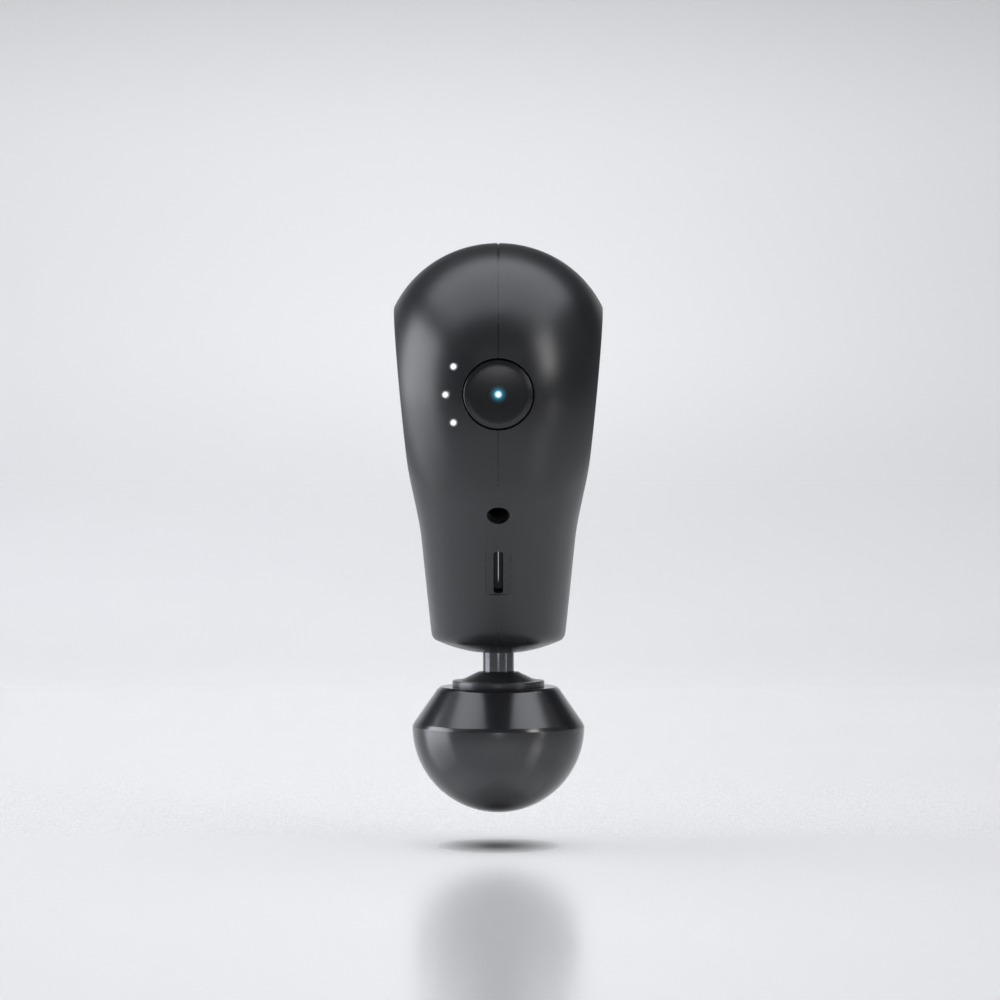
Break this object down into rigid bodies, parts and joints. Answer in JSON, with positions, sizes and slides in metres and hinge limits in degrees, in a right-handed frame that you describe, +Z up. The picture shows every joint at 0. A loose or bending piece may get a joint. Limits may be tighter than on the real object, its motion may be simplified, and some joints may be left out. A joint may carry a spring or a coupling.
{
  "type": "massage gun",
  "caption": "Compact triangular percussion massage gun: crowned two-shell casing with a round front button, indicator lights, a reciprocating plunger and a round push-fit massage head.",
  "frame": {"origin": "tip of the round massage head, on the plunger axis, with the plunger retracted", "axes": "+Z up along the plunger from head to casing; -Y towards the face with the power button; X across the width"},
  "size_m": [0.0556, 0.134, 0.1547],
  "materials": {
    "casing": "satin moulded shell, fine grain",
    "side_cover": "soft-touch coated cover",
    "screw_steel": "zinc plated",
    "trim_plastic": "satin",
    "seal_rubber": "matte",
    "frame_metal": "cast, bead blasted",
    "bush_brass": "turned",
    "bearing_steel": "ground",
    "core_steel": "laminated",
    "copper_wire": "enamelled copper",
    "magnet": "nickel plated",
    "button": "satin gloss",
    "button_lens": "lit lens",
    "light_guide": "clear, lit",
    "light": "lit",
    "window": "smoked, polished",
    "black_plastic": "moulded",
    "switch_stem": "moulded",
    "plug_plastic": "moulded",
    "board": "solder mask",
    "capacitor_can": "sleeved can",
    "contact": "nickel plated",
    "cell_sleeve": "shrink sleeve on a steel can",
    "lead_insulation": "vinyl",
    "plunger_steel": "black plated, polished",
    "head_plastic": "satin moulded",
    "head_foam": "dense closed foam with a smooth skin"
  },
  "bodies": {
    "housing": {"right_shell": "casing", "left_shell": "casing", "left_side_cover": "side_cover", "right_side_cover": "side_cover", "casing_screws": "screw_steel", "nose_ring": "trim_plastic", "wiper_seal": "seal_rubber", "drive_frame": "frame_metal", "guide_bushes": "bush_brass", "rubber_mounts": "seal_rubber", "motor_housing": "frame_metal", "motor_end_cap": "frame_metal", "motor_bearings": "bearing_steel", "stator_core": "core_steel", "stator_coils": "copper_wire", "motor_screws": "screw_steel", "switch_body": "black_plastic", "button_board": "board", "speed_light_guide": "light_guide", "speed_leds": "light", "charging_socket": "black_plastic", "charging_pin": "contact", "indicator_window": "window", "indicator_leds": "light", "indicator_board": "board", "control_board": "board", "power_transistors": "black_plastic", "smoothing_capacitor": "capacitor_can", "board_plugs": "plug_plastic", "battery_cells": "cell_sleeve", "battery_cradle": "black_plastic", "cell_links": "contact", "battery_board": "board", "motor_leads": "lead_insulation", "battery_leads": "lead_insulation", "inlet_leads": "lead_insulation", "button_leads": "lead_insulation", "indicator_leads": "lead_insulation"},
    "plunger": {"yoke": "frame_metal", "plunger_shaft": "plunger_steel", "retaining_ring": "seal_rubber"},
    "crank": {"rotor_core": "core_steel", "rotor_magnets": "magnet", "motor_shaft": "bearing_steel", "crank_disc": "bearing_steel", "crank_pin": "bearing_steel", "pin_clip": "screw_steel"},
    "roller": {"pin_roller": "bearing_steel"},
    "massage_head": {"head_core": "head_plastic", "head_ball": "head_foam"},
    "power_button": {"power_button_cap": "button", "button_lens": "button_lens"},
    "switch_key": {"switch_stem": "switch_stem"}
  },
  "joints": [
    {"name": "plunger_slide", "type": "slide", "parent": "housing", "child": "plunger", "axis": [0, 0, -1], "range_m": [0, 0.012]},
    {"name": "crank_turn", "type": "hinge", "parent": "housing", "child": "crank", "pos_m": [0, 0.006, 0.092], "axis": [0, 1, 0], "continuous": true},
    {"name": "roller_spin", "type": "hinge", "parent": "crank", "child": "roller", "pos_m": [0, 0, 0.098], "axis": [0, 1, 0], "continuous": true},
    {"name": "head_pull", "type": "slide", "parent": "plunger", "child": "massage_head", "axis": [0, 0, -1], "range_m": [0, 0.025]},
    {"name": "button_press", "type": "slide", "parent": "housing", "child": "power_button", "axis": [0, 1, 0], "range_m": [0, 0.0004], "stiffness_N_per_m": 2500, "springref_m": -0.0001},
    {"name": "switch_press", "type": "slide", "parent": "housing", "child": "switch_key", "axis": [0, 1, 0], "range_m": [0, 0.0004]}
  ],
  "couplings": [
    {"joint": "crank_turn", "follows": "plunger_slide", "rad_per_m": 261.8},
    {"joint": "switch_press", "follows": "button_press", "ratio": 1}
  ]
}
